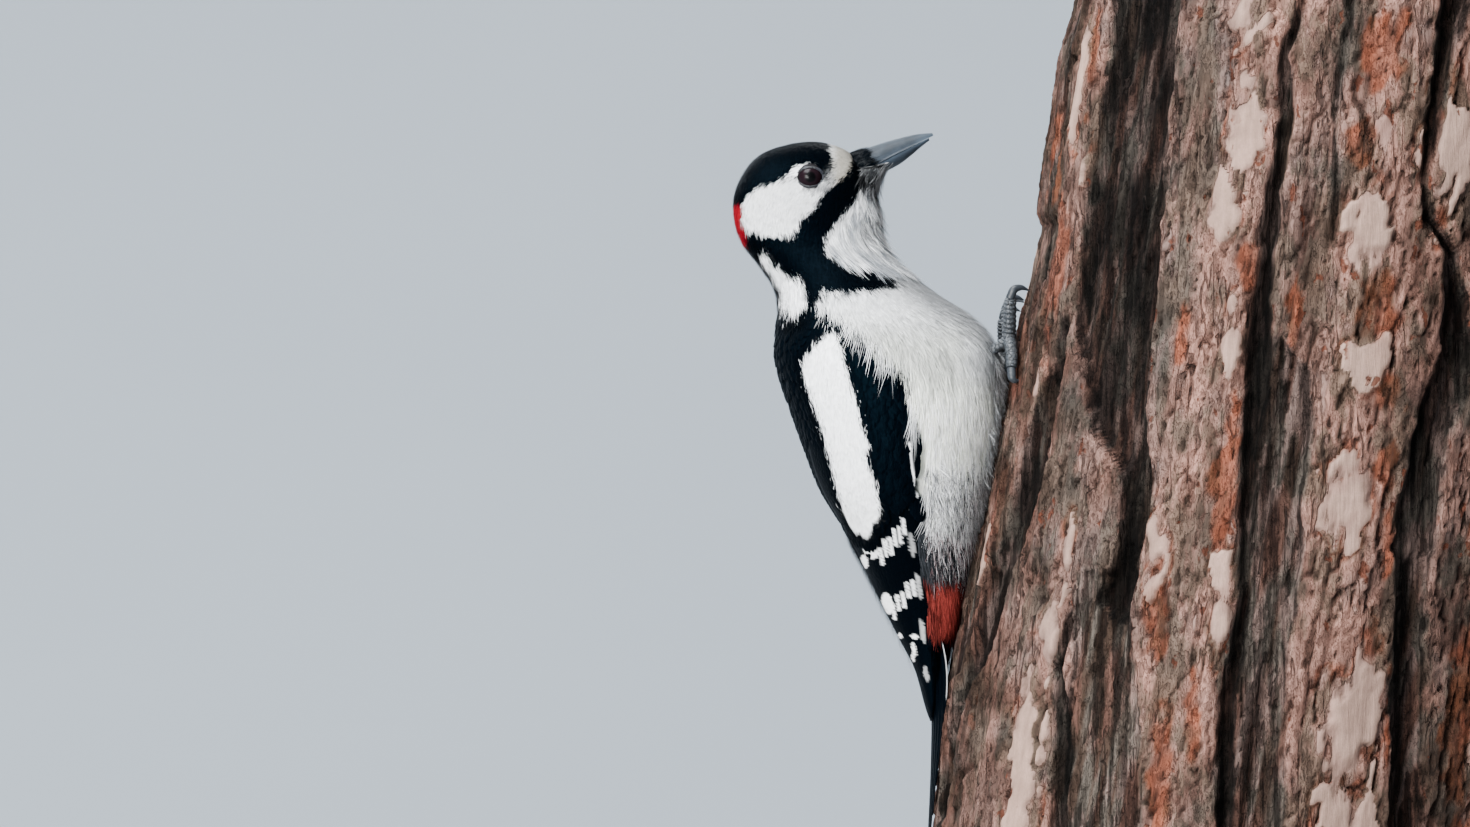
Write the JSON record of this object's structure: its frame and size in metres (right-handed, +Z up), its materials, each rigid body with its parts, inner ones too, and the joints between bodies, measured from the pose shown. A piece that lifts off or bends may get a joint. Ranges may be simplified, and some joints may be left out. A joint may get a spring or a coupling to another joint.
{
  "type": "great spotted woodpecker",
  "caption": "Great spotted woodpecker, adult male, clinging upright to a short cut length of pine trunk that short rods hold on a flat display base.",
  "frame": {"origin": "centre of the display base's underside, on the floor", "axes": "+Z up; +X from the bird's back towards the trunk; +Y towards the bird's left side, so that the bird's right side faces -Y"},
  "size_m": [0.3, 0.196, 0.312],
  "materials": {
    "black_plumage": "glossy black feathers with a faint blue sheen",
    "white_plumage": "soft white and cream feathers",
    "red_plumage": "soft crimson feathers",
    "horn": "smooth slate-grey horn",
    "foot_skin": "scaly grey skin",
    "eye": "wet, dark red-brown with a black pupil",
    "bark": "rough, flaking red-brown pine bark with pale inner bark and cut ends",
    "stand_wood": "oiled oak with eased edges",
    "stand_steel": "brushed"
  },
  "bodies": {
    "root": {"head": "black_plumage", "neck": "black_plumage", "torso": "white_plumage", "undertail": "red_plumage", "tail": "black_plumage", "wing_right_coverts": "black_plumage", "wing_left_coverts": "black_plumage", "wing_right_flight": "black_plumage", "wing_left_flight": "black_plumage", "thigh_right": "white_plumage", "thigh_left": "white_plumage", "leg_right": "foot_skin", "leg_left": "foot_skin", "bill_upper": "horn", "bill_lower": "horn", "eye_right": "eye", "eye_left": "eye", "perch_log": "bark", "stand_base": "stand_wood", "stand_rod_1": "stand_steel", "stand_rod_2": "stand_steel", "claw_inner_right": "horn", "claw_middle_right": "horn", "claw_outer_right": "horn", "claw_hind_right": "horn", "claw_inner_left": "horn", "claw_middle_left": "horn", "claw_outer_left": "horn", "claw_hind_left": "horn"}
  },
  "joints": []
}
